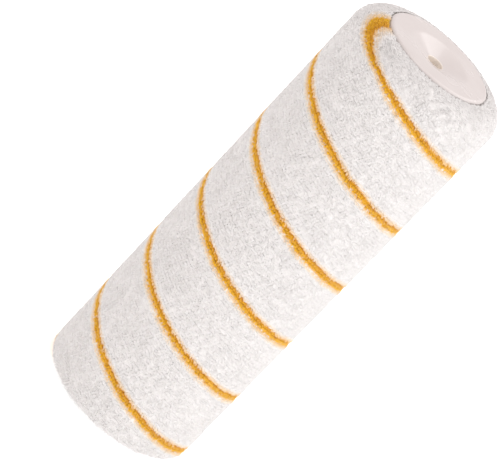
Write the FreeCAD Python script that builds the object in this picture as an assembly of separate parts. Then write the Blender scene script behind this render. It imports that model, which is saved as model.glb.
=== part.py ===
import FreeCAD, Part
import math
import os

from FreeCAD import Vector

# Paint roller sleeve: a plastic core with a spirally wound pile fabric bonded round it and a
# pressed-in bearing cap at each end. Millimetres. The roller's axis is +Z, the sleeve stands on
# the outer face of its bottom cap, and the origin is the centre of that face.

# Driving dimensions
FABRIC_LENGTH = 180.0       # core and fabric are cut to this length together
PILE_DIAMETER = 64.6        # over the tips of the pile
CORE_DIAMETER = 43.6        # outside of the core tube
CORE_WALL = 1.9
BOND_THICKNESS = 0.25       # melted film between the core and the fabric
BACKING_THICKNESS = 0.95    # ground fabric that the pile is anchored in
TOP_SHOULDER_RADIUS = 8.0   # rounding of the pile's outer edge
BOTTOM_SHOULDER_RADIUS = 2.5
WINDING_LEAD = 59.8         # one turn of the wound strip, along the axis
SEAM_GAP = 0.4              # butt seam between neighbouring turns of the strip
STRIPE_WIDTH = 2.8          # along the axis, about four coloured wales
STRIPE_STARTS = 2           # coloured lines in the width of the strip
TOP_STRIPE_DROP = 10.9      # first coloured line below the fabric's top end, on the -Y side

FLANGE_DIAMETER = 43.6      # end cap
FLANGE_THICKNESS = 1.8
RIM_ROUNDING = 1.3
DISH_DIAMETER = 24.6        # shallow cone round the axle hole
DISH_DEPTH = 2.7
DISH_EDGE_ROUNDING = 6.0    # soft bend between the flange's face and the cone
AXLE_HOLE_DIAMETER = 6.4    # for a 6 mm axle
LIP_ROUNDING = 0.4          # mouth of the axle hole
HUB_DIAMETER = 10.8
HUB_LENGTH = 22.0
HUB_FUNNEL = 1.3            # lead-in at the hub's inner end
SPIGOT_LENGTH = 16.0
SPIGOT_WALL = 1.5
SPIGOT_CHAMFER = 0.8
RIB_HEIGHT = 0.2            # grip ribs bridge this gap between the spigot and the core
RIB_WIDTH = 1.6
RIB_COUNT = 12
WEB_COUNT = 6
WEB_THICKNESS = 1.3
WEB_DEPTH = 12.0

# Worked-out sizes
CORE_OUTER = CORE_DIAMETER / 2
CORE_INNER = CORE_OUTER - CORE_WALL
BACKING_INNER = CORE_OUTER + BOND_THICKNESS
PILE_INNER = BACKING_INNER + BACKING_THICKNESS
PILE_OUTER = PILE_DIAMETER / 2
FABRIC_BOTTOM = FLANGE_THICKNESS
FABRIC_TOP = FABRIC_BOTTOM + FABRIC_LENGTH
TOTAL_LENGTH = FABRIC_TOP + FLANGE_THICKNESS
FLANGE_RADIUS = FLANGE_DIAMETER / 2
DISH_RADIUS = DISH_DIAMETER / 2
HOLE_RADIUS = AXLE_HOLE_DIAMETER / 2
HUB_RADIUS = HUB_DIAMETER / 2
SPIGOT_RADIUS = CORE_INNER - RIB_HEIGHT
SPIGOT_INNER = SPIGOT_RADIUS - SPIGOT_WALL
STRIPE_SPACING = WINDING_LEAD / STRIPE_STARTS

AXIS = Vector(0, 0, 1)
ORIGIN = Vector(0, 0, 0)
FRONT_ANGLE = -90.0         # the -Y side, in degrees from +X
WINDING_SPARE = 6.0         # length by which a winding tool runs past each end of the fabric
CUT_SPARE = 1.0             # depth by which a cutting tool runs past the wall it cuts


def tube(inner, outer, bottom, top):
    """Plain ring of a given wall between two heights."""
    height = top - bottom
    base = Vector(0, 0, bottom)
    return Part.makeCylinder(outer, height, base).cut(Part.makeCylinder(inner, height, base))


def turned(points):
    """Solid of revolution about Z from a closed outline of (radius, height) points."""
    outline = [Vector(r, 0, z) for r, z in points]
    face = Part.Face(Part.makePolygon(outline + outline[:1]))
    return face.revolve(ORIGIN, AXIS, 360)


def circles_at(solid, radius, height):
    """Circular edges about Z with this radius, at this height."""
    found = []
    for edge in solid.Edges:
        curve = edge.Curve
        if isinstance(curve, Part.Circle) and abs(curve.Center.z - height) < 1e-4:
            if abs(curve.Radius - radius) < 1e-4 and math.hypot(curve.Center.x, curve.Center.y) < 1e-4:
                found.append(edge)
    return found


def left_hand_ribbon(inner, outer, width, front_height):
    """Screw-shaped ribbon as tall as `width` along Z, which crosses the -Y side at front_height.

    The ribbon's rectangle, from the inner to the outer radius, is carried along a left-handed
    helix that runs past both ends of the fabric, one edge for each turn.
    """
    turns_below = math.ceil((front_height - FABRIC_BOTTOM + WINDING_SPARE) / WINDING_LEAD)
    turns_above = math.ceil((FABRIC_TOP - front_height + WINDING_SPARE) / WINDING_LEAD)
    middle = (inner + outer) / 2
    path = Part.makeLongHelix(WINDING_LEAD, WINDING_LEAD * (turns_below + turns_above), middle, 0, True)
    half = width / 2
    corners = [
        Vector(inner, 0, -half),
        Vector(outer, 0, -half),
        Vector(outer, 0, half),
        Vector(inner, 0, half),
    ]
    section = Part.makePolygon(corners + corners[:1])
    sweep = Part.BRepOffsetAPI.MakePipeShell(Part.Wire(path.Edges))
    sweep.setFrenetMode(True)
    sweep.add(section)
    sweep.build()
    sweep.makeSolid()
    ribbon = sweep.shape()
    ribbon.rotate(ORIGIN, AXIS, FRONT_ANGLE)
    ribbon.translate(Vector(0, 0, front_height - WINDING_LEAD * turns_below))
    return ribbon


def core_tube():
    """Rigid tube with a small chamfer inside each end, where the caps are pushed in."""
    wall = tube(CORE_INNER, CORE_OUTER, FABRIC_BOTTOM, FABRIC_TOP)
    mouths = circles_at(wall, CORE_INNER, FABRIC_BOTTOM) + circles_at(wall, CORE_INNER, FABRIC_TOP)
    return wall.makeChamfer(CORE_WALL / 4, mouths)


def bond_film():
    """Film that was melted between the core and the fabric."""
    return tube(CORE_OUTER, BACKING_INNER, FABRIC_BOTTOM, FABRIC_TOP)


def backing_strip():
    """Ground fabric: one strip wound spirally, its turns parted by a narrow butt seam.

    The seam lies midway between two coloured lines.
    """
    layer = tube(BACKING_INNER, PILE_INNER, FABRIC_BOTTOM, FABRIC_TOP)
    seam_height = FABRIC_TOP - TOP_STRIPE_DROP - STRIPE_SPACING / 2
    seam = left_hand_ribbon(BACKING_INNER - CUT_SPARE, PILE_INNER + CUT_SPARE, SEAM_GAP, seam_height)
    return layer.cut(seam)


def pile_envelope():
    """Outer form of the pile: a thick sleeve with rounded shoulders."""
    sleeve = tube(PILE_INNER, PILE_OUTER, FABRIC_BOTTOM, FABRIC_TOP)
    sleeve = sleeve.makeFillet(TOP_SHOULDER_RADIUS, circles_at(sleeve, PILE_OUTER, FABRIC_TOP))
    return sleeve.makeFillet(BOTTOM_SHOULDER_RADIUS, circles_at(sleeve, PILE_OUTER, FABRIC_BOTTOM))


def pile_pieces():
    """The white pile, parted by the coloured lines, and the two coloured lines themselves."""
    envelope = pile_envelope()
    white = envelope
    stripes = []
    for start in range(STRIPE_STARTS):
        front_height = FABRIC_TOP - TOP_STRIPE_DROP - STRIPE_SPACING * start
        ribbon = left_hand_ribbon(
            PILE_INNER - CUT_SPARE, PILE_OUTER + CUT_SPARE, STRIPE_WIDTH, front_height
        )
        stripes.append(envelope.common(ribbon))
        white = white.cut(ribbon)
    return white, stripes


def cap_body():
    """Flange, dished middle and hub, turned about Z. The outer face is at height 0, facing down."""
    dish_wall_angle = math.atan2(DISH_DEPTH, DISH_RADIUS - HOLE_RADIUS)
    slant = FLANGE_THICKNESS / math.cos(dish_wall_angle)
    # The dish's inner side runs parallel to the cone, so the wall has one thickness.
    inner_start = DISH_RADIUS + (slant - FLANGE_THICKNESS) / math.tan(dish_wall_angle)
    inner_end = HUB_RADIUS
    inner_end_height = slant + (DISH_RADIUS - inner_end) * math.tan(dish_wall_angle)
    body = turned([
        (HOLE_RADIUS, DISH_DEPTH),
        (DISH_RADIUS, 0),
        (FLANGE_RADIUS, 0),
        (FLANGE_RADIUS, FLANGE_THICKNESS),
        (inner_start, FLANGE_THICKNESS),
        (inner_end, inner_end_height),
        (HUB_RADIUS, HUB_LENGTH),
        (HOLE_RADIUS + HUB_FUNNEL, HUB_LENGTH),
        (HOLE_RADIUS, HUB_LENGTH - HUB_FUNNEL),
    ])
    body = body.makeFillet(RIM_ROUNDING, circles_at(body, FLANGE_RADIUS, 0))
    body = body.makeFillet(LIP_ROUNDING, circles_at(body, HOLE_RADIUS, DISH_DEPTH))
    body = body.makeFillet(DISH_EDGE_ROUNDING, circles_at(body, DISH_RADIUS, 0))
    return body


def cap_spigot():
    """Ring that fills the core's mouth, with grip ribs and a chamfered inner end."""
    top = FLANGE_THICKNESS + SPIGOT_LENGTH
    ring = tube(SPIGOT_INNER, SPIGOT_RADIUS, FLANGE_THICKNESS / 2, top)
    ring = ring.makeChamfer(SPIGOT_CHAMFER, circles_at(ring, SPIGOT_RADIUS, top))
    rib_bottom = FLANGE_THICKNESS
    rib_top = top - 2 * SPIGOT_CHAMFER
    band = tube(SPIGOT_RADIUS - RIB_HEIGHT, CORE_INNER, rib_bottom, rib_top)
    for k in range(RIB_COUNT):
        rib = Part.makeBox(CORE_INNER, RIB_WIDTH, rib_top, Vector(SPIGOT_INNER, -RIB_WIDTH / 2, 0))
        rib.rotate(ORIGIN, AXIS, 360 * k / RIB_COUNT)
        ring = ring.fuse(band.common(rib))
    return ring


def cap_web(k):
    """One radial web between the hub and the spigot."""
    length = (SPIGOT_INNER + SPIGOT_RADIUS) / 2 - (HOLE_RADIUS + HUB_RADIUS) / 2
    corner = Vector((HOLE_RADIUS + HUB_RADIUS) / 2, -WEB_THICKNESS / 2, FLANGE_THICKNESS / 2)
    web = Part.makeBox(length, WEB_THICKNESS, FLANGE_THICKNESS / 2 + WEB_DEPTH, corner)
    web.rotate(ORIGIN, AXIS, 360 * (k + 0.5) / WEB_COUNT)
    return web


def dish_space():
    """The space above the dish and inside the axle hole, which the webs are kept out of."""
    return turned([
        (0, -CUT_SPARE),
        (DISH_RADIUS, -CUT_SPARE),
        (DISH_RADIUS, 0),
        (HOLE_RADIUS, DISH_DEPTH),
        (0, DISH_DEPTH),
    ])


def end_cap():
    """One moulding: flange, dish, hub, spigot and webs, with its outer face down at height 0."""
    webs = cap_web(0)
    for k in range(1, WEB_COUNT):
        webs = webs.fuse(cap_web(k))
    inner_parts = cap_spigot().fuse(webs.cut(dish_space()))
    return cap_body().fuse(inner_parts).removeSplitter()


def main():
    os.makedirs("parts", exist_ok=True)
    white, stripes = pile_pieces()
    bottom_cap = end_cap()
    top_cap = bottom_cap.copy()
    top_cap.rotate(Vector(0, 0, TOTAL_LENGTH / 2), Vector(1, 0, 0), 180)
    nodes = {
        "core_tube": core_tube(),
        "bond_film": bond_film(),
        "backing_strip": backing_strip(),
        "white_pile": white,
        "stripe_a": stripes[0],
        "stripe_b": stripes[1],
        "end_cap_bottom": bottom_cap,
        "end_cap_top": top_cap,
    }
    for name, shape in nodes.items():
        solids = shape.Solids
        print(name, len(solids), "solids", round(shape.Volume), "mm3", "valid" if shape.isValid() else "INVALID")
        shape.exportStep(f"parts/{name}.step")


main()
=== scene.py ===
import math

import bpy
import numpy as np
from mathutils import Euler, Matrix, Vector


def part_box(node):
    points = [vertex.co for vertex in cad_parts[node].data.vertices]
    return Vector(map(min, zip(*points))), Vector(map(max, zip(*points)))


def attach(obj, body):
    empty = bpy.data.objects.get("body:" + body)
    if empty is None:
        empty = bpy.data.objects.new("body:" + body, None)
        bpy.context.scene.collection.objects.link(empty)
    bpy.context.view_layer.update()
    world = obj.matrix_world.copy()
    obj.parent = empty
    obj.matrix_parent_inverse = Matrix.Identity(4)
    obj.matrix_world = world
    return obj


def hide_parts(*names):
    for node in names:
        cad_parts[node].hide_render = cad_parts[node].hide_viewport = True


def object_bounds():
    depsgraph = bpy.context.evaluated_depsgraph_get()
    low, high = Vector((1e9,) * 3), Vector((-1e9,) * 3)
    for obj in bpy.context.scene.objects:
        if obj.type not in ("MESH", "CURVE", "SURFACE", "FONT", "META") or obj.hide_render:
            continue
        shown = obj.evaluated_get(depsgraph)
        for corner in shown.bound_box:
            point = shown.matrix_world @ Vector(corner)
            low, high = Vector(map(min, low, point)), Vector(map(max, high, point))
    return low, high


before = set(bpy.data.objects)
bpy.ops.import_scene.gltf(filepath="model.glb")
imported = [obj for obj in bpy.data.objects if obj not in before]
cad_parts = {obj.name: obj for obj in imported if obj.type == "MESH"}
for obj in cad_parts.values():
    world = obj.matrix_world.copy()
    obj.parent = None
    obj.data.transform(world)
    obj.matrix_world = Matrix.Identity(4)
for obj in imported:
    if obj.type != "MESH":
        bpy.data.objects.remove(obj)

# Paint roller sleeve. Metres, in the frame of the CAD model: the roller's axis is +Z and the
# outer face of the bottom cap lies at z = 0.

CAD_LOW, CAD_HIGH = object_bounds()
PILE_LOW, PILE_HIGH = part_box("white_pile")

MM = 0.001
FABRIC_BOTTOM = PILE_LOW.z
FABRIC_TOP = PILE_HIGH.z
PILE_RADIUS = PILE_HIGH.x
BACKING_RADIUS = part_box("backing_strip")[1].x
CORE_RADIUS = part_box("core_tube")[1].x
ROLLER_LENGTH = CAD_HIGH.z - CAD_LOW.z
TURN = 2 * np.pi

# The wound strip, as the CAD model has it
WINDING_LEAD = 59.8 * MM            # left-handed, one turn along the axis
STRIPE_STARTS = 2
STRIPE_SPACING = WINDING_LEAD / STRIPE_STARTS
TOP_STRIPE_DROP = 10.9 * MM         # first coloured line below the fabric's top, on the -Y side
SEAM_GAP = 0.4 * MM
BOND_THICKNESS = 0.25 * MM
BACKING_INNER = CORE_RADIUS + BOND_THICKNESS

# Outline of the pile's two ends: each corner's reach inwards, its rise and its fullness
TOP_CORNER = (10.8 * MM, 9.4 * MM, 2.0)
TOP_CORNER_START = FABRIC_TOP - 8.0 * MM
BOTTOM_CORNER = (10.4 * MM, 3.2 * MM, 3.0)
BOTTOM_CORNER_START = FABRIC_BOTTOM + 2.6 * MM
PILE_INNER_EDGE = 22.0 * MM         # the tips reach in to this radius, round the caps' rims
BED_INNER_EDGE = 23.2 * MM          # the bed and the fibres' roots stay outside this radius
FAN = 8.0 * MM                      # the fabric's last stretch, whose pile fans out over an end
TOP_FAN_POWER = 3.0                 # how fast the fabric runs out along the outline of an end
BOTTOM_FAN_POWER = 1.0
STRIPE_ENDS = np.array([FABRIC_TOP, FABRIC_TOP - 1.2 * MM])     # each line's end, on flat fabric

# The pile
BED_DEPTH = 0.55 * MM               # dense pile starts this far below the tips
FIBRE_COUNT = 130_000
FIBRE_SINK = 0.4 * MM               # a fibre starts this far inside the bed
FIBRE_REACH = 1.7 * MM              # a fibre's sideways reach for a lean of 1
FIBRE_ROOT_WIDTH = 0.38 * MM        # radius of the three-sided section
FIBRE_MIDDLE_WIDTH = 0.33 * MM
ROWS_PER_LEAD = 40                  # rows of tufts across one turn of the strip
TUFTS_PER_ROUND = 180
STRIPE_WIDTH = 2.6 * MM
STRIPE_ROOT_RISE = 0.7 * MM         # dyed roots lie this far above the line their tips draw
STRIPE_TINT_REACH = 2.2 * MM             # the white pile is tinted orange this far from a line
TINT_FADE = 1.4                    # how fast the tint fades
PLAIN_SHADES = 0.8                  # shades above this are tinted ones
TINT_START = 0.03                   # fainter tints are left out
STRIPE_SINK = 0.25 * MM             # the dyed pile is shorter by this
STRIPE_TEETH = 0.9 * MM             # a line's upper edge steps by up to this from tuft to tuft
TUFT_RELIEF = 0.16 * MM             # the tufts' heights differ by up to this
TUFT_PULL = 0.45                    # how far the fibres of one tuft are drawn together
TUFT_STRAY = 0.4                    # spread of a tuft's place, as a share of its step
TUFT_LEAN = (0.30, 0.40)            # spread of the tufts' leans, along the roller and round it
OWN_LEAN = (0.08, 0.09)             # each fibre's random lean, along and round
SLOW_LEAN, SLOW_WAVE = 0.10, 11 * MM    # leans that change slowly over the roller
QUICK_LEAN, QUICK_WAVE = 0.06, 2.4 * MM     # and quickly
OWN_SHORT = 0.14 * MM               # a fibre is shorter by up to this at random
PATCH_SHORT, PATCH_WAVE = 0.06 * MM, 3.2 * MM   # and by a wave over the roller
BEND_BACK, BEND_OUT = 0.15, 0.18    # how far a fibre's middle lags behind its tip and stands out
COMB_ALONG = -0.46                  # general lean of the pile, away from the top cap
COMB_AROUND = 0.10                  # and round towards +X from the -Y side
END_LEAN = 0.30                     # lean towards the caps on the end faces, on average
END_LEAN_SWING = 0.3                # less by this share on one side and more on the other
STEEP_SIDE = math.radians(-143)     # the side on which the end pile leans least
WHITE_PIECES = 10

BED_ROUND = 288                     # bed grid
BED_ALONG = 256
BED_WALL_ROWS = 4
BED_WALL_INSET = 0.3 * MM           # the inner wall stops this far inside the bed's two edges
BED_WALL_GAP = 0.05 * MM            # and stands this far off the ground fabric
BED_DYE_EDGE = 0.4 * MM             # width over which a line's colour ends on the bed
BED_BUMPS, BED_BUMP_WAVE = 0.12 * MM, 1.7 * MM
BED_BUMP_FADE = 2 * MM              # the bumps fade out this far from the bed's edges
CLOTH_ALONG = 900                   # ground cloth grid
CLOTH_ACROSS = 48
CLOTH_RIBS = 0.06 * MM              # depth of the knit's ribs
CLOTH_RIB_PITCH = 3 * MM
CLOTH_GAP = 0.02 * MM               # between the cloth and the bond film
CLOTH_TIP = 0.3 * MM                # the strip's pointed tips are cut off where they are this high

BORE_LIGHT_EDGE = (3.6 * MM, 3.25 * MM)    # radii where the painted light in the bore starts and is full

FLOOR_HEIGHT = -0.1 * MM
FLOOR_HALF = 6.0

CAMERA_PLACE = (0, -0.9712, 0.5164)
CAMERA_TILT, CAMERA_PAN, CAMERA_ROLL = 23.964, 0.306, 43.47     # degrees
LAMP_DISTANCE = 1.0
LAMPS = (                           # name, azimuth, elevation, size, power in watts, colour
    ("key", 52, 14, 0.4, 1.9, (0.94, 0.98, 1)),
    ("overhead", -60, 72, 0.5, 1.0, (1, 1, 1)),
    ("side", 92, 45, 0.6, 1.3, (1, 1, 1)),
    ("gleam", 160, 45, 0.5, 0.7, (1, 1, 1)),
)

random = np.random.default_rng(41)


# ---------------------------------------------------------------- numbers

def hashed(*whole_numbers):
    """Repeatable value from 0 to 1 for each set of whole numbers: the fraction of a large sine."""
    steps = (12.9898, 78.233, 37.719)
    total = sum(np.asarray(n, float) * step for n, step in zip(whole_numbers, steps))
    return np.mod(np.sin(total) * 43758.5453, 1.0)


def waves(points, wavelength, seed, count=28):
    """Smooth random field, about -1 to 1: a sum of plane waves in random directions and phases.

    field = sum of cos(k . p + phase) / sqrt(count / 2), with wavelengths spread round this one.
    """
    rng = np.random.default_rng(seed)
    direction = rng.normal(size=(count, 3))
    direction /= np.linalg.norm(direction, axis=1, keepdims=True)
    k = direction * (TURN / wavelength * rng.uniform(0.65, 1.45, (count, 1)))
    phase = rng.uniform(0, TURN, count)
    return np.cos(points @ k.T + phase).sum(1) / math.sqrt(count / 2)


def unit(vectors):
    """Each vector over its own length."""
    return vectors / np.maximum(np.linalg.norm(vectors, axis=-1, keepdims=True), 1e-12)


# ---------------------------------------------------------------- meshes

def mesh_piece(name, points, loops, sizes, smooth=True):
    """Object from an array of points, all faces' corners in one row and each face's count."""
    mesh = bpy.data.meshes.new(name)
    mesh.vertices.add(len(points))
    mesh.vertices.foreach_set("co", np.ascontiguousarray(points, np.float32).ravel())
    mesh.loops.add(len(loops))
    mesh.loops.foreach_set("vertex_index", np.ascontiguousarray(loops, np.int32))
    mesh.polygons.add(len(sizes))
    starts = np.concatenate([[0], np.cumsum(sizes)[:-1]]).astype(np.int32)
    mesh.polygons.foreach_set("loop_start", starts)
    mesh.polygons.foreach_set("loop_total", np.ascontiguousarray(sizes, np.int32))
    mesh.polygons.foreach_set("use_smooth", np.full(len(sizes), smooth))
    mesh.update(calc_edges=True)
    mesh.validate()
    piece = bpy.data.objects.new(name, mesh)
    bpy.context.scene.collection.objects.link(piece)
    return piece


def point_value(piece, name, values):
    """Stores one number per vertex under this name, for the piece's material."""
    layer = piece.data.attributes.new(name, "FLOAT", "POINT")
    layer.data.foreach_set("value", np.ascontiguousarray(values, np.float32))


def ring_grid(around, along):
    """Corners of the quads of a grid that closes on itself both ways, row by row along it."""
    i, j = np.meshgrid(np.arange(along), np.arange(around), indexing="ij")
    right, up = (j + 1) % around, (i + 1) % along
    corners = np.stack(
        [i * around + j, i * around + right, up * around + right, up * around + j], -1
    )
    return corners.reshape(-1), np.full(around * along, 4)


# ---------------------------------------------------------------- the pile's form

def corner_curve(reach, rise, power, inner_edge):
    """Corner of the pile's outline, from the straight side to the inner edge: a superellipse.

    With t from 0 to a quarter turn, radius = side - reach + reach cos(t)^(2/power) and
    climb = rise sin(t)^(2/power), cut off where the radius is the inner edge's.
    """
    stop = math.acos(((inner_edge - PILE_RADIUS + reach) / reach) ** (power / 2))
    t = np.linspace(0, stop, 400)
    radius = PILE_RADIUS - reach + reach * np.cos(t) ** (2 / power)
    return radius, rise * np.sin(t) ** (2 / power)


def pile_outline():
    """Table of the pile's outline from the bottom inner edge to the top one.

    Its rows are the run (length along the outline, equal to the height on the straight side), the
    radius, the height, the outward normal's two parts and the height on the flat fabric. The pile
    fans out over an end: a share x past the fan's start, measured along the outline, belongs to
    the share 1 - (1 - x)^power of the fabric's last stretch.
    """
    low_radius, low_climb = corner_curve(*BOTTOM_CORNER, PILE_INNER_EDGE)
    top_radius, top_climb = corner_curve(*TOP_CORNER, PILE_INNER_EDGE)
    radius = np.concatenate([low_radius[::-1], top_radius])
    height = np.concatenate([BOTTOM_CORNER_START - low_climb[::-1], TOP_CORNER_START + top_climb])
    length = np.concatenate([[0], np.cumsum(np.hypot(np.diff(radius), np.diff(height)))])
    run = length - length[len(low_radius) - 1] + BOTTOM_CORNER_START
    slope_out, slope_up = np.gradient(radius, run), np.gradient(height, run)
    size = np.hypot(slope_out, slope_up)
    top, bottom = FABRIC_TOP - FAN, FABRIC_BOTTOM + FAN
    past_top = np.clip((run - top) / (run[-1] - top), 0, 1)
    past_bottom = np.clip((bottom - run) / (bottom - run[0]), 0, 1)
    flat = np.clip(run, bottom, top) + FAN * (1 - (1 - past_top) ** TOP_FAN_POWER)
    flat -= FAN * (1 - (1 - past_bottom) ** BOTTOM_FAN_POWER)
    return np.stack([run, radius, height, slope_up / size, -slope_out / size, flat])


OUTLINE = pile_outline()
RUN_LOW, RUN_HIGH = OUTLINE[0, 0], OUTLINE[0, -1]


def pile_form(run, depth):
    """The outline's radius and height at a run, `depth` under the tips, its normal, flat height."""
    radius, height, out, up, flat = (np.interp(run, OUTLINE[0], row) for row in OUTLINE[1:])
    return radius - depth * out, height - depth * up, out, up, flat


def placed(radius, height, angle):
    """Points at these radii, heights and angles: (radius cos angle, radius sin angle, height)."""
    return np.stack([radius * np.cos(angle), radius * np.sin(angle), height], -1)


def strip_row(flat_height, angle):
    """How far across the wound strip a point lies, in metres above the top coloured line.

    The left-handed line through the -Y side falls by one lead for each turn towards +X.
    """
    from_front = np.mod(angle + math.pi / 2 + math.pi, TURN) - math.pi
    return flat_height - (FABRIC_TOP - TOP_STRIPE_DROP) + WINDING_LEAD * from_front / TURN


def nearest_stripe(across):
    """Distance across from the nearest coloured line, and which of the lines it is."""
    number = np.round(across / STRIPE_SPACING)
    return across - number * STRIPE_SPACING, number.astype(int) % STRIPE_STARTS


def below_end(flat, line):
    """Whether a height on the flat fabric lies below the top end of this coloured line."""
    return flat < STRIPE_ENDS[line] + 1e-9


def surface_frame(out, up, angle):
    """Outward normal, direction along the roller and direction round it, at points of the pile."""
    cos, sin = np.cos(angle), np.sin(angle)
    normal = np.stack([out * cos, out * sin, up], -1)
    along = np.stack([-up * cos, -up * sin, out], -1)
    around = np.stack([-sin, cos, np.zeros_like(cos)], -1)
    return normal, along, around


def spread_evenly(count):
    """Points spread evenly over the pile without rows: a plastic-number sequence in run and angle.

    The run is drawn by area, so the density stays the same over the corners.
    """
    i = np.arange(count)
    first = np.mod(0.5 + i * 0.7548776662466927, 1)
    second = np.mod(0.5 + i * 0.5698402909980532, 1)
    run = np.linspace(RUN_LOW, RUN_HIGH, 4001)
    area = np.cumsum(pile_form(run, BED_DEPTH / 2)[0])
    return np.interp(first * (area[-1] - area[0]) + area[0], area, run), second * TURN


def grown_fibres():
    """Lays out the pile as whole arrays.

    A fibre's tip lies on the outline over its root, moved sideways by reach times a lean. The lean
    is the comb's, its tuft's, a slow and a quick wave over the roller, and its own random part. On
    the end faces the comb is END_LEAN (1 - END_LEAN_SWING cos(angle - STEEP_SIDE)). The tip is then
    drawn some way towards the tip of its tuft. Tufts lie in rows along the wound strip. A fibre is
    dyed where its root lies on a coloured line, whose upper edge steps in and out by tufts. The
    shade runs from 0 to PLAIN_SHADES for plain fibres, and on to 1 with the tint beside a line. For
    dyed fibres it falls towards the line's upper edge: painted shade, for the white tufts over it.
    """
    run, angle = spread_evenly(FIBRE_COUNT)
    radius, height, out, up, flat = pile_form(run, BED_DEPTH + FIBRE_SINK)
    root = placed(np.maximum(radius, BED_INNER_EDGE), height, angle)
    normal, along, around = surface_frame(out, up, angle)

    pitch = WINDING_LEAD / ROWS_PER_LEAD
    across = strip_row(run, angle)
    row = np.round(across / pitch)
    half_step = 0.5 * np.mod(row, 2)
    column = np.floor(angle / TURN * TUFTS_PER_ROUND + half_step)
    tuft_across = (row + TUFT_STRAY * (hashed(row, column, 1) - 0.5)) * pitch
    place_round = column + 0.5 - half_step + TUFT_STRAY * (hashed(row, column, 2) - 0.5)
    tuft_angle = place_round * TURN / TUFTS_PER_ROUND
    tuft_run = run + tuft_across - across - WINDING_LEAD * (tuft_angle - angle) / TURN
    tuft_radius, tuft_height, _, _, tuft_flat = pile_form(np.clip(tuft_run, RUN_LOW, RUN_HIGH), 0)
    tuft_tip = placed(tuft_radius, tuft_height, tuft_angle)
    distance, line = nearest_stripe(strip_row(flat, angle) - STRIPE_ROOT_RISE * out)
    tooth = STRIPE_TEETH * (hashed(column, 7) - 0.5)
    place = (distance + STRIPE_WIDTH / 2) / (STRIPE_WIDTH + tooth)
    dyed = (place > 0) & (place < 1) & below_end(tuft_flat, line)

    reach = BED_DEPTH + FIBRE_SINK
    sunk = STRIPE_SINK * dyed
    root -= sunk[:, None] * normal
    side_swing = 1 - END_LEAN_SWING * np.cos(angle - STEEP_SIDE)
    comb_along = COMB_ALONG * out + END_LEAN * up * side_swing
    comb_around = COMB_AROUND * out
    tuft_along = comb_along + SLOW_LEAN * waves(tuft_tip, SLOW_WAVE, 3)
    tuft_along += TUFT_LEAN[0] * (hashed(row, column, 3) - 0.5)
    tuft_around = comb_around + SLOW_LEAN * waves(tuft_tip, SLOW_WAVE, 4)
    tuft_around += TUFT_LEAN[1] * (hashed(row, column, 4) - 0.5)
    lean_along = tuft_along + QUICK_LEAN * waves(root, QUICK_WAVE, 5)
    lean_along += random.normal(0, OWN_LEAN[0], FIBRE_COUNT)
    lean_around = tuft_around + QUICK_LEAN * waves(root, QUICK_WAVE, 6)
    lean_around += random.normal(0, OWN_LEAN[1], FIBRE_COUNT)

    short = OWN_SHORT * random.uniform(0, 1, FIBRE_COUNT) ** 1.5
    short += PATCH_SHORT * (1 + waves(tuft_tip, PATCH_WAVE, 7))
    short += sunk + TUFT_RELIEF * hashed(row, column, 8)
    surface = placed(*pile_form(run, short)[:2], angle)
    sideways = FIBRE_REACH * (lean_along[:, None] * along + lean_around[:, None] * around)
    tuft_sideways = FIBRE_REACH * (tuft_along[:, None] * along + tuft_around[:, None] * around)
    tip = surface + sideways
    tip += TUFT_PULL * (tuft_tip - short[:, None] * normal + tuft_sideways - tip)
    middle = (root + tip) / 2 - BEND_BACK * sideways + BEND_OUT * reach * normal

    mottle = 0.85 * hashed(row, column, 5) + 0.15 * random.uniform(0, 1, FIBRE_COUNT)
    # Dyed fibres are darker towards the line's upper edge (place near 1). This is painted shade,
    # standing for the shadow of the white tufts that hang over that edge. The plain fibres' mottle
    # differs at random.
    plain = PLAIN_SHADES * np.where(dyed, 0.75 * (1 - place) + 0.25 * mottle, mottle)
    beyond = np.clip((np.abs(distance) - STRIPE_WIDTH / 2) / STRIPE_TINT_REACH, 0, 1)
    tint = (1 - beyond) ** TINT_FADE * below_end(flat, line)
    tinted = PLAIN_SHADES + (1 - PLAIN_SHADES) * tint
    shade = np.where(dyed | (tint < TINT_START), plain, tinted)

    return {
        "root": root,
        "middle": middle,
        "tip": tip,
        "height": height,
        "line": np.where(dyed, line, -1),
        "shade": shade,
        "turn": random.uniform(0, TURN, FIBRE_COUNT),
        "width": random.uniform(0.75, 1.25, FIBRE_COUNT),
    }


def fibre_piece(name, fibres, chosen):
    """Closed three-sided fibres: a triangle at the root, a narrower one at the middle and a point.

    A section's corner is at centre + width (cos t . e + sin t . f), at three angles t a third of a
    turn apart, where e and f are at right angles to the fibre.
    """
    root, middle, tip = fibres["root"][chosen], fibres["middle"][chosen], fibres["tip"][chosen]
    direction = unit(tip - root)
    helper = np.where(np.abs(direction[:, 2:]) < 0.8, [[0.0, 0.0, 1.0]], [[1.0, 0.0, 0.0]])
    e = unit(np.cross(helper, direction))
    f = np.cross(direction, e)
    turn = fibres["turn"][chosen][:, None] + np.arange(3) * TURN / 3
    ring = np.cos(turn)[..., None] * e[:, None] + np.sin(turn)[..., None] * f[:, None]
    width = fibres["width"][chosen][:, None, None]
    points = np.concatenate([
        root[:, None] + FIBRE_ROOT_WIDTH * width * ring,
        middle[:, None] + FIBRE_MIDDLE_WIDTH * width * ring,
        tip[:, None],
    ], axis=1)
    one_fibre = [2, 1, 0]
    for k in range(3):
        after = (k + 1) % 3
        one_fibre += [k, after, 3 + after, 3 + k]
    for k in range(3):
        one_fibre += [3 + k, 3 + (k + 1) % 3, 6]
    count = len(root)
    loops = (np.arange(count)[:, None] * 7 + np.array(one_fibre)).ravel()
    piece = mesh_piece(name, points.reshape(-1, 3), loops, np.tile([3, 4, 4, 4, 3, 3, 3], count))
    shade = fibres["shade"][chosen]
    point_value(piece, "along_fibre", np.tile([0, 0, 0, 0.5, 0.5, 0.5, 1], count))
    point_value(piece, "fibre_shade", np.repeat(shade, 7))
    shade_map(piece, shade)
    return piece


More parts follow.
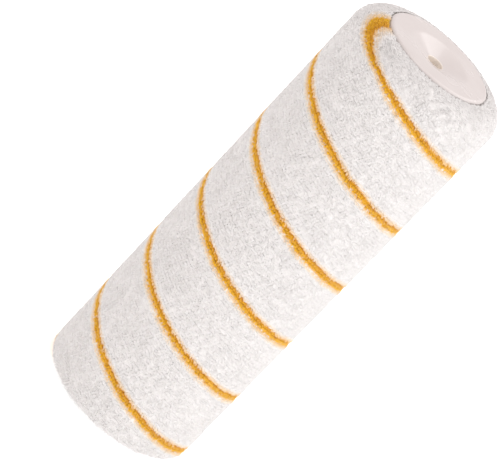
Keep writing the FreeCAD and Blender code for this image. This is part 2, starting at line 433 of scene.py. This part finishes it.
def shade_map(piece, shade):
    """UV map that the yarn's colour follows: each fibre's shade sideways, root to tip upwards.

    u = 0.02 + 0.93 shade + 0.02 of the way round the fibre, and v is the way along it. Fibres of
    one shade lie over each other, where they have the same colour.
    """
    rows = [(0, 0.01), (0.5, 0.04), (1, 0.01)]
    for k in range(3):
        rows += [(k / 3, 0.04), ((k + 1) / 3, 0.04), ((k + 1) / 3, 0.5), (k / 3, 0.5)]
    for k in range(3):
        rows += [(k / 3, 0.5), ((k + 1) / 3, 0.5), ((k + 0.5) / 3, 0.98)]
    sideways, upwards = np.array(rows).T
    across = 0.02 + 0.93 * shade[:, None] + 0.02 * sideways
    places = np.stack(np.broadcast_arrays(across, upwards), -1)
    layer = piece.data.uv_layers.new(name="OFBake")
    layer.uv.foreach_set("vector", places.astype(np.float32).ravel())


# ---------------------------------------------------------------- pieces

def pile_bed():
    """The dense pile under the tips: the pile's outline at BED_DEPTH turned about Z, with its tufts
    as low bumps, closed by a plain inner wall."""
    outline_rows = BED_ALONG - BED_WALL_ROWS
    run = np.linspace(RUN_LOW, RUN_HIGH, 2001)
    inside = run[pile_form(run, BED_DEPTH)[0] >= BED_INNER_EDGE]
    run, angle = np.meshgrid(
        np.linspace(inside[0], inside[-1], outline_rows),
        np.arange(BED_ROUND) * TURN / BED_ROUND,
        indexing="ij",
    )
    radius, height, out, up, flat = pile_form(run, BED_DEPTH)
    distance, line = nearest_stripe(strip_row(flat, angle) - STRIPE_ROOT_RISE * out)
    dyed = np.clip((STRIPE_WIDTH / 2 - np.abs(distance)) / BED_DYE_EDGE + 0.5, 0, 1)
    dyed *= below_end(flat, line)
    points = placed(radius - dyed * STRIPE_SINK * out, height - dyed * STRIPE_SINK * up, angle)
    bumps = waves(points.reshape(-1, 3), BED_BUMP_WAVE, 11).reshape(run.shape)
    normal = surface_frame(out, up, angle)[0]
    edge = np.minimum(run - run[0, 0], run[-1, 0] - run)
    points += (BED_BUMPS * bumps * np.clip(edge / BED_BUMP_FADE, 0, 1))[..., None] * normal
    low, high = height[0, 0] + BED_WALL_INSET, height[-1, 0] - BED_WALL_INSET
    wall_rows = np.linspace(high, low, BED_WALL_ROWS)
    wall_height, wall_angle = np.meshgrid(wall_rows, angle[0], indexing="ij")
    wall = placed(np.full_like(wall_height, BACKING_RADIUS + BED_WALL_GAP), wall_height, wall_angle)
    everything = np.concatenate([points, wall])
    loops, sizes = ring_grid(BED_ROUND, BED_ALONG)
    piece = mesh_piece("pile_bed", everything.reshape(-1, 3), loops, sizes)
    point_value(piece, "dyed", np.concatenate([dyed, np.zeros_like(wall_height)]).ravel())
    return piece


def ground_cloth():
    """The pile's knitted ground: one strip wound round the core from end to end.

    With t turns from the -Y side, the strip's middle lies at height start - lead t, and its edges
    half a lead less half a seam to either side, cut off at the fabric's ends. Its closed section
    runs up the outer face and down the inner one, both waved by the knit's ribs.
    """
    start = FABRIC_TOP - TOP_STRIPE_DROP - STRIPE_SPACING / 2 + WINDING_LEAD / 2
    half = (WINDING_LEAD - SEAM_GAP) / 2
    first = (start - FABRIC_TOP - half + CLOTH_TIP) / WINDING_LEAD
    last = (start - FABRIC_BOTTOM + half - CLOTH_TIP) / WINDING_LEAD
    turns = np.linspace(first, last, CLOTH_ALONG)[:, None]
    middle = start - WINDING_LEAD * turns
    low = np.maximum(middle - half, FABRIC_BOTTOM)
    high = np.minimum(middle + half, FABRIC_TOP)
    share_up = np.linspace(0, 1, CLOTH_ACROSS)
    up, down = low + (high - low) * share_up, low + (high - low) * share_up[::-1]
    height = np.concatenate([up, down], 1)
    across = height - middle
    ribs = CLOTH_RIBS * (0.5 - 0.5 * np.cos(TURN * across / CLOTH_RIB_PITCH))
    outer = np.arange(2 * CLOTH_ACROSS) < CLOTH_ACROSS
    radius = np.where(outer, BACKING_RADIUS - ribs, BACKING_INNER + CLOTH_GAP + ribs)
    angle = np.broadcast_to(TURN * turns - math.pi / 2, height.shape)
    points = placed(radius, height, angle)

    count = 2 * CLOTH_ACROSS
    i, j = np.meshgrid(np.arange(CLOTH_ALONG - 1), np.arange(count), indexing="ij")
    after = (j + 1) % count
    here, onward = i * count, (i + 1) * count
    quads = np.stack([here + j, onward + j, onward + after, here + after], -1).reshape(-1)
    ends = [np.arange(count), (CLOTH_ALONG - 1) * count + np.arange(count)[::-1]]
    sizes = np.concatenate([np.full(i.size, 4), [count, count]])
    loops = np.concatenate([quads, *ends])
    piece = mesh_piece("ground_cloth", points.reshape(-1, 3), loops, sizes, smooth=False)
    around = TURN * (BACKING_RADIUS + BACKING_INNER) / 2
    slope = math.atan2(WINDING_LEAD, around)
    length = turns * around / math.cos(slope) - across * math.sin(slope)
    point_value(piece, "strip_length", length.ravel())
    point_value(piece, "strip_across", (across * math.cos(slope)).ravel())
    flat_width = 2 * half * math.cos(slope)
    flat_length = (last - first) * around * math.cos(slope)
    flat_length += (FABRIC_TOP - FABRIC_BOTTOM) * math.sin(slope)
    flat_area = float((high - low).mean()) * (last - first) * around
    return piece, (flat_width, flat_length), flat_area


# ---------------------------------------------------------------- materials

def new_material(name):
    """Material with nodes, its tree and its Principled shader."""
    material = bpy.data.materials.new(name)
    material.use_nodes = True
    nodes = material.node_tree.nodes
    shader = next(n for n in nodes if n.type == "BSDF_PRINCIPLED")
    return material, material.node_tree, shader


def named_value(tree, name):
    """The number stored per vertex under this name."""
    node = tree.nodes.new("ShaderNodeAttribute")
    node.attribute_name = name
    return node.outputs["Fac"]


def ramp(tree, value, *stops):
    """Colours by value, from (place, colour) stops."""
    node = tree.nodes.new("ShaderNodeValToRGB")
    elements = node.color_ramp.elements
    while len(elements) < len(stops):
        elements.new(1.0)
    for element, (place, colour) in zip(elements, stops):
        element.position = place
        element.color = (*colour, 1)
    tree.links.new(value, node.inputs["Fac"])
    return node.outputs["Color"]


def mixed(tree, mode, factor, first, second):
    """Colour mix node; each of its three inputs is a number, a colour or another node's output."""
    node = tree.nodes.new("ShaderNodeMix")
    node.data_type = "RGBA"
    node.blend_type = mode
    sockets = [s for s in node.inputs if s.enabled]
    for socket, value in zip(sockets, (factor, first, second)):
        if isinstance(value, bpy.types.NodeSocket):
            tree.links.new(value, socket)
        elif isinstance(value, tuple):
            socket.default_value = (*value, 1)
        else:
            socket.default_value = value
    return next(s for s in node.outputs if s.enabled)


def node_group(name, inputs, outputs):
    """Empty shader node group with these named inputs and outputs, and its two end nodes."""
    tree = bpy.data.node_groups.new(name, "ShaderNodeTree")
    for label, kind in inputs:
        tree.interface.new_socket(label, in_out="INPUT", socket_type="NodeSocket" + kind)
    for label, kind in outputs:
        tree.interface.new_socket(label, in_out="OUTPUT", socket_type="NodeSocket" + kind)
    given = tree.nodes.new("NodeGroupInput").outputs
    made = tree.nodes.new("NodeGroupOutput").inputs
    return tree, given, made


def share(tree, value, low, high):
    """Share of the way from low to high, from 0 to 1."""
    node = tree.nodes.new("ShaderNodeMapRange")
    tree.links.new(value, node.inputs["Value"])
    node.inputs["From Min"].default_value = low
    node.inputs["From Max"].default_value = high
    return node.outputs["Result"]


def noise(tree, place, scale, detail=2.0):
    """Cloudy noise from 0 to 1, with this many clouds to the metre."""
    node = tree.nodes.new("ShaderNodeTexNoise")
    node.inputs["Scale"].default_value = scale
    node.inputs["Detail"].default_value = detail
    tree.links.new(place, node.inputs["Vector"])
    return node.outputs["Fac"]


def raised(tree, height, strength, distance):
    """Normal of a surface raised by up to this distance where the height is 1."""
    node = tree.nodes.new("ShaderNodeBump")
    node.inputs["Strength"].default_value = strength
    node.inputs["Distance"].default_value = distance
    tree.links.new(height, node.inputs["Height"])
    return node.outputs["Normal"]


def yarn_group():
    """A fibre's colour: from root to tip, times its tone from dull to bright and on to tinted. The
    darker root is painted shade deep in the pile.
    """
    tree, given, made = node_group(
        "yarn_colour",
        [("Along fibre", "Float"), ("Shade", "Float"), ("Root", "Color"), ("Tip", "Color"),
         ("Dull tone", "Color"), ("Bright tone", "Color"), ("Tinted tone", "Color")],
        [("Colour", "Color")],
    )
    rise = share(tree, given["Along fibre"], 0, 0.7)
    body = mixed(tree, "MIX", rise, given["Root"], given["Tip"])
    plain = share(tree, given["Shade"], 0, PLAIN_SHADES)
    tinted = share(tree, given["Shade"], PLAIN_SHADES, 1)
    tone = mixed(tree, "MIX", plain, given["Dull tone"], given["Bright tone"])
    tone = mixed(tree, "MIX", tinted, tone, given["Tinted tone"])
    tree.links.new(mixed(tree, "MULTIPLY", 1.0, body, tone), made["Colour"])
    return tree


def plastic_group():
    """Moulded or drawn plastic: cloudy colour and gloss, fine grain, painted light at the bore."""
    tree, given, made = node_group(
        "plastic_skin",
        [("Place", "Vector"), ("Dark", "Color"), ("Light", "Color"), ("Gloss", "Float"),
         ("Bore colour", "Color")],
        [("Colour", "Color"), ("Roughness", "Float"), ("Normal", "Vector")],
    )
    cloud = share(tree, noise(tree, given["Place"], 90, 4), 0.3, 0.7)
    colour = mixed(tree, "MIX", cloud, given["Dark"], given["Light"])
    flat = tree.nodes.new("ShaderNodeVectorMath")
    flat.operation = "MULTIPLY"
    flat.inputs[1].default_value = (1, 1, 0)
    tree.links.new(given["Place"], flat.inputs[0])
    radius = tree.nodes.new("ShaderNodeVectorMath")
    radius.operation = "LENGTH"
    tree.links.new(flat.outputs["Vector"], radius.inputs[0])
    bore = share(tree, radius.outputs["Value"], *BORE_LIGHT_EDGE)
    tree.links.new(mixed(tree, "MIX", bore, colour, given["Bore colour"]), made["Colour"])
    rough = tree.nodes.new("ShaderNodeMath")
    rough.operation = "MULTIPLY_ADD"
    tree.links.new(cloud, rough.inputs[0])
    rough.inputs[1].default_value = 0.10
    tree.links.new(given["Gloss"], rough.inputs[2])
    tree.links.new(rough.outputs["Value"], made["Roughness"])
    tree.links.new(raised(tree, noise(tree, given["Place"], 1400), 0.12, 0.1 * MM), made["Normal"])
    return tree


def use_group(tree, group, **inputs):
    """Puts a shared group into a material; underscores in the inputs' names stand for spaces."""
    node = tree.nodes.new("ShaderNodeGroup")
    node.node_tree = group
    for label, value in inputs.items():
        socket = node.inputs[label.replace("_", " ")]
        if isinstance(value, bpy.types.NodeSocket):
            tree.links.new(value, socket)
        elif isinstance(value, tuple):
            socket.default_value = (*value, 1)
        else:
            socket.default_value = value
    return node.outputs


def yarn_material(name, group, root, tip, dull, bright, tinted):
    """Soft yarn, coloured fibre by fibre."""
    material, tree, shader = new_material(name)
    yarn = use_group(
        tree, group,
        Along_fibre=named_value(tree, "along_fibre"), Shade=named_value(tree, "fibre_shade"),
        Root=root, Tip=tip, Dull_tone=dull, Bright_tone=bright, Tinted_tone=tinted,
    )
    tree.links.new(yarn["Colour"], shader.inputs["Base Color"])
    shader.inputs["Roughness"].default_value = 0.7
    shader.inputs["Sheen Weight"].default_value = 0.15
    shader.inputs["Sheen Roughness"].default_value = 0.5
    return material


def bed_material():
    """Packed yarn under the tips: white, dyed along the coloured lines, mottled tuft by tuft."""
    material, tree, shader = new_material("pile_bed_yarn")
    place = tree.nodes.new("ShaderNodeTexCoord").outputs["Object"]
    dyed = ramp(
        tree, named_value(tree, "dyed"), (0.0, (0.89, 0.875, 0.865)), (1.0, (0.72, 0.34, 0.003))
    )
    tufts = ramp(tree, noise(tree, place, 700, 3), (0.3, (0.86, 0.86, 0.86)), (0.7, (1, 1, 1)))
    tree.links.new(mixed(tree, "MULTIPLY", 1.0, dyed, tufts), shader.inputs["Base Color"])
    grain = raised(tree, noise(tree, place, 1600, 3), 0.4, 0.2 * MM)
    tree.links.new(grain, shader.inputs["Normal"])
    shader.inputs["Roughness"].default_value = 0.85
    return material


def plastic_material(name, group, dark, light, gloss, stretch=1.0, bore=None):
    """Plastic whose clouds and grain are stretched along the roller by this factor.

    Round the axle bore the colour is lighter and warmer: painted light, lifting the bore's shade as
    light through the thin plastic wall would.
    """
    material, tree, shader = new_material(name)
    mapping = tree.nodes.new("ShaderNodeMapping")
    mapping.inputs["Scale"].default_value = (1, 1, 1 / stretch)
    place = tree.nodes.new("ShaderNodeTexCoord").outputs["Object"]
    tree.links.new(place, mapping.inputs["Vector"])
    skin = use_group(
        tree, group, Place=mapping.outputs["Vector"], Dark=dark, Light=light, Gloss=gloss,
        Bore_colour=bore or light,
    )
    tree.links.new(skin["Colour"], shader.inputs["Base Color"])
    tree.links.new(skin["Roughness"], shader.inputs["Roughness"])
    tree.links.new(skin["Normal"], shader.inputs["Normal"])
    return material, shader


def knit_material():
    """Knitted ground fabric: two sine waves multiplied, along the strip and across, as loops."""
    material, tree, shader = new_material("knitted_ground")
    loops = []
    for name, pitch in (("strip_length", 1.1 * MM), ("strip_across", 1.5 * MM)):
        turn = tree.nodes.new("ShaderNodeMath")
        turn.operation = "MULTIPLY"
        tree.links.new(named_value(tree, name), turn.inputs[0])
        turn.inputs[1].default_value = TURN / pitch
        swing = tree.nodes.new("ShaderNodeMath")
        swing.operation = "SINE"
        tree.links.new(turn.outputs["Value"], swing.inputs[0])
        loops.append(share(tree, swing.outputs["Value"], -1, 1))
    weave = tree.nodes.new("ShaderNodeMath")
    weave.operation = "MULTIPLY"
    for socket, value in zip(weave.inputs, loops):
        tree.links.new(value, socket)
    loop = weave.outputs["Value"]
    colour = ramp(tree, loop, (0, (0.66, 0.64, 0.60)), (0.6, (0.86, 0.85, 0.82)))
    tree.links.new(colour, shader.inputs["Base Color"])
    tree.links.new(raised(tree, loop, 0.8, 0.2 * MM), shader.inputs["Normal"])
    shader.inputs["Roughness"].default_value = 0.9
    return material


def dressed(piece, material):
    """The piece, with this material only."""
    piece.data.materials.clear()
    piece.data.materials.append(material)
    return piece


# ---------------------------------------------------------------- camera, light and floor

def add_camera():
    """Camera in front of the -Y side and above the roller, tilted down and rolled so that the
    upright roller leans to the right."""
    data = bpy.data.cameras.new("camera")
    data.sensor_width = 36.0
    data.lens = 212.8
    data.clip_start, data.clip_end = 0.05, 20
    camera = bpy.data.objects.new("camera", data)
    bpy.context.scene.collection.objects.link(camera)
    camera.location = CAMERA_PLACE
    turn = Euler((math.radians(90 - CAMERA_TILT), 0, math.radians(CAMERA_PAN))).to_matrix()
    roll = Matrix.Rotation(math.radians(CAMERA_ROLL), 3, "Z")
    camera.rotation_euler = (turn @ roll).to_euler()
    bpy.context.scene.camera = camera


def add_light(name, azimuth, elevation, size, power, colour):
    """Round lamp aimed at the roller's middle. Azimuth 0 is the -Y side and 90 the +X side."""
    data = bpy.data.lights.new(name, "AREA")
    data.shape = "DISK"
    data.size = size
    data.energy = power
    data.color = colour
    lamp = bpy.data.objects.new(name, data)
    bpy.context.scene.collection.objects.link(lamp)
    a, e = math.radians(azimuth), math.radians(elevation)
    back = Vector((math.sin(a) * math.cos(e), -math.cos(a) * math.cos(e), math.sin(e)))
    lamp.location = Vector((0, 0, ROLLER_LENGTH / 2)) + back * LAMP_DISTANCE
    lamp.rotation_mode = "QUATERNION"
    lamp.rotation_quaternion = (-back).to_track_quat("-Z", "Y")


def add_surroundings():
    """A pale, slightly warm room, the lamps and a plain pale floor."""
    scene = bpy.context.scene
    scene.view_settings.view_transform = "Standard"
    world = bpy.data.worlds.new("studio")
    scene.world = world
    world.use_nodes = True
    background = world.node_tree.nodes["Background"]
    background.inputs["Color"].default_value = (1, 0.935, 0.92, 1)
    background.inputs["Strength"].default_value = 0.86
    for lamp in LAMPS:
        add_light(*lamp)

    floor, tree, shader = new_material("studio_floor")
    shader.inputs["Base Color"].default_value = (0.96, 0.96, 0.96, 1)
    shader.inputs["Roughness"].default_value = 0.9
    shader.inputs["Emission Color"].default_value = (1, 1, 1, 1)
    shader.inputs["Emission Strength"].default_value = 0.45
    sides = np.array([(-1, -1), (1, -1), (1, 1), (-1, 1)]) * FLOOR_HALF
    corners = np.column_stack([sides, np.full(4, FLOOR_HEIGHT)])
    stage = dressed(mesh_piece("floor", corners, np.arange(4), [4]), floor)


# ---------------------------------------------------------------- the roller

add_camera()
add_surroundings()

fibres = grown_fibres()
yarn = yarn_group()
# White yarn: the slightly darker root colour is painted shade deep in the pile. The dull to bright
# tones differ at random.
white = yarn_material(
    "white_pile_yarn", yarn, root=(0.85, 0.84, 0.835), tip=(0.89, 0.88, 0.875),
    dull=(0.91, 0.905, 0.90), bright=(1, 1, 1), tinted=(1.0, 0.68, 0.30),
)
# Amber yarn: the dark brown root colour is painted shade deep in the pile. The dull tone, given at
# a line's upper edge, is painted shade under the white tufts.
amber = yarn_material(
    "amber_pile_yarn", yarn, root=(0.50, 0.19, 0.002), tip=(1.0, 0.62, 0.008),
    dull=(0.72, 0.50, 0.3), bright=(1, 1, 1), tinted=(1, 1, 1),
)

bed = dressed(pile_bed(), bed_material())
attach(bed, "root")
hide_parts("white_pile")

order = np.argsort(fibres["height"], kind="stable")
order = order[fibres["line"][order] < 0]
for k, chosen in enumerate(np.array_split(order, WHITE_PIECES)):
    piece = dressed(fibre_piece(f"white_pile_{k + 1:02d}", fibres, chosen), white)
    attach(piece, "root")
    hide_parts("white_pile")

for line, node in enumerate(("stripe_a", "stripe_b")):
    chosen = np.flatnonzero(fibres["line"] == line)
    piece = dressed(fibre_piece(node + "_pile", fibres, chosen), amber)
    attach(piece, "root")
    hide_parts(node)

cloth, cloth_flat, cloth_area = ground_cloth()
dressed(cloth, knit_material())
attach(cloth, "root")
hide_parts("backing_strip")

plastic = plastic_group()
cap_plastic, cap_shader = plastic_material(
    "moulded_white_plastic", plastic, dark=(0.69, 0.64, 0.625), light=(0.73, 0.685, 0.67),
    # bore: painted light inside the axle bore, lighter and warmer than the cap
    gloss=0.20, bore=(0.97, 0.90, 0.82),
)
cap_shader.inputs["Coat Weight"].default_value = 0.35
cap_shader.inputs["Coat Roughness"].default_value = 0.08
core_plastic, _ = plastic_material(
    "drawn_core_plastic", plastic, dark=(0.70, 0.70, 0.67), light=(0.80, 0.80, 0.78),
    gloss=0.50, stretch=12,
)
film_plastic, film_shader = plastic_material(
    "melted_bond_film", plastic, dark=(0.78, 0.76, 0.69), light=(0.90, 0.89, 0.84),
    gloss=0.30, stretch=2,
)
film_shader.inputs["Coat Weight"].default_value = 0.2
for node, material in (
    ("end_cap_top", cap_plastic), ("end_cap_bottom", cap_plastic),
    ("core_tube", core_plastic), ("bond_film", film_plastic),
):
    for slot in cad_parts[node].material_slots:
        slot.material = material
